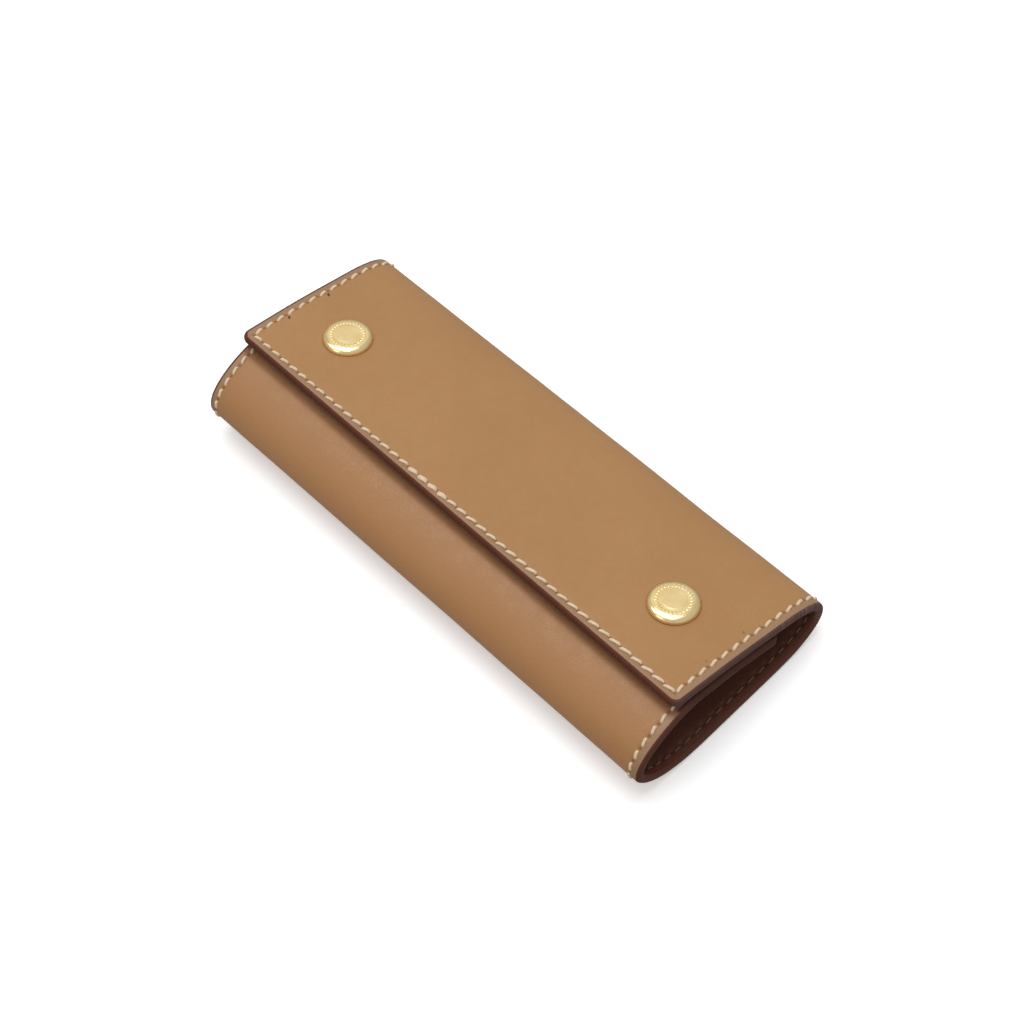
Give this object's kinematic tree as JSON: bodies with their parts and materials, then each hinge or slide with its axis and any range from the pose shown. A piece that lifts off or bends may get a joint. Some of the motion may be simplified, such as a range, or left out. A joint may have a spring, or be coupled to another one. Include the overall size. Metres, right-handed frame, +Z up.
{
  "type": "key organiser",
  "caption": "Tri-fold leather key case, saddle stitched and closed by two domed snaps, with swivelling key hooks on a bar inside.",
  "frame": {"origin": "centre of the underside, on the surface that the closed case lies on", "axes": "+X along the case, to the right seen from the front fold; +Y from the front fold towards the spine; +Z up, out of the top flap"},
  "size_m": [0.121, 0.0475, 0.02],
  "materials": {
    "leather": "smooth natural tan leather, satin",
    "lining": "dark brown smooth lining leather, matt",
    "thread": "waxed cream linen thread",
    "gold": "polished pale gold plate",
    "steel": "bright spring steel"
  },
  "bodies": {
    "case_back": {"back_panel_leather": "leather", "back_panel_lining": "lining", "back_thread_left": "thread", "back_thread_right": "thread", "hook_bar": "gold", "left_bar_rivet": "gold", "right_bar_rivet": "gold", "left_bar_washer": "gold", "right_bar_washer": "gold"},
    "top_flap": {"top_flap_leather": "leather", "top_flap_lining": "lining", "top_flap_thread": "thread", "left_snap_cap": "gold", "left_snap_socket": "gold", "left_snap_spring": "steel", "right_snap_cap": "gold", "right_snap_socket": "gold", "right_snap_spring": "steel"},
    "inner_flap": {"inner_flap_leather": "leather", "inner_flap_lining": "lining", "inner_flap_thread": "thread", "left_snap_stud": "gold", "left_snap_eyelet": "gold", "right_snap_stud": "gold", "right_snap_eyelet": "gold"},
    "hook_1": {"key_hook_1": "gold", "gate_pin_1": "steel"},
    "gate_1": {"hook_gate_1": "steel"},
    "hook_2": {"key_hook_2": "gold", "gate_pin_2": "steel"},
    "gate_2": {"hook_gate_2": "steel"},
    "hook_3": {"key_hook_3": "gold", "gate_pin_3": "steel"},
    "gate_3": {"hook_gate_3": "steel"},
    "hook_4": {"key_hook_4": "gold", "gate_pin_4": "steel"},
    "gate_4": {"hook_gate_4": "steel"},
    "hook_5": {"key_hook_5": "gold", "gate_pin_5": "steel"},
    "gate_5": {"hook_gate_5": "steel"},
    "hook_6": {"key_hook_6": "gold", "gate_pin_6": "steel"},
    "gate_6": {"hook_gate_6": "steel"}
  },
  "joints": [
    {"name": "top_flap_fold", "type": "hinge", "parent": "case_back", "child": "top_flap", "pos_m": [0, 0.02375, 0.0063], "axis": [-1, 0, 0], "range_deg": [0, 160]},
    {"name": "inner_flap_fold", "type": "hinge", "parent": "case_back", "child": "inner_flap", "pos_m": [0, -0.0237, 0.0078], "axis": [1, 0, 0], "range_deg": [0, 56]},
    {"name": "key_hook_1_swivel", "type": "hinge", "parent": "case_back", "child": "hook_1", "pos_m": [-0.03, 0.006, 0.0054], "axis": [0, 1, 0], "continuous": true},
    {"name": "hook_gate_1_spring", "type": "hinge", "parent": "hook_1", "child": "gate_1", "pos_m": [-0.0278, 0.0034, 0.0054], "axis": [0, 0, -1], "range_deg": [0, 20], "stiffness_Nm_per_rad": 0.002},
    {"name": "key_hook_2_swivel", "type": "hinge", "parent": "case_back", "child": "hook_2", "pos_m": [-0.018, 0.006, 0.0054], "axis": [0, 1, 0], "continuous": true},
    {"name": "hook_gate_2_spring", "type": "hinge", "parent": "hook_2", "child": "gate_2", "pos_m": [-0.0158, 0.0034, 0.0054], "axis": [0, 0, -1], "range_deg": [0, 20], "stiffness_Nm_per_rad": 0.002},
    {"name": "key_hook_3_swivel", "type": "hinge", "parent": "case_back", "child": "hook_3", "pos_m": [-0.006, 0.006, 0.0054], "axis": [0, 1, 0], "continuous": true},
    {"name": "hook_gate_3_spring", "type": "hinge", "parent": "hook_3", "child": "gate_3", "pos_m": [-0.0038, 0.0034, 0.0054], "axis": [0, 0, -1], "range_deg": [0, 20], "stiffness_Nm_per_rad": 0.002},
    {"name": "key_hook_4_swivel", "type": "hinge", "parent": "case_back", "child": "hook_4", "pos_m": [0.006, 0.006, 0.0054], "axis": [0, 1, 0], "continuous": true},
    {"name": "hook_gate_4_spring", "type": "hinge", "parent": "hook_4", "child": "gate_4", "pos_m": [0.0082, 0.0034, 0.0054], "axis": [0, 0, -1], "range_deg": [0, 20], "stiffness_Nm_per_rad": 0.002},
    {"name": "key_hook_5_swivel", "type": "hinge", "parent": "case_back", "child": "hook_5", "pos_m": [0.018, 0.006, 0.0054], "axis": [0, 1, 0], "continuous": true},
    {"name": "hook_gate_5_spring", "type": "hinge", "parent": "hook_5", "child": "gate_5", "pos_m": [0.0202, 0.0034, 0.0054], "axis": [0, 0, -1], "range_deg": [0, 20], "stiffness_Nm_per_rad": 0.002},
    {"name": "key_hook_6_swivel", "type": "hinge", "parent": "case_back", "child": "hook_6", "pos_m": [0.03, 0.006, 0.0054], "axis": [0, 1, 0], "continuous": true},
    {"name": "hook_gate_6_spring", "type": "hinge", "parent": "hook_6", "child": "gate_6", "pos_m": [0.0322, 0.0034, 0.0054], "axis": [0, 0, -1], "range_deg": [0, 20], "stiffness_Nm_per_rad": 0.002}
  ],
  "couplings": [
    {"joint": "inner_flap_fold", "follows": "top_flap_fold", "ratio": 0.35}
  ]
}
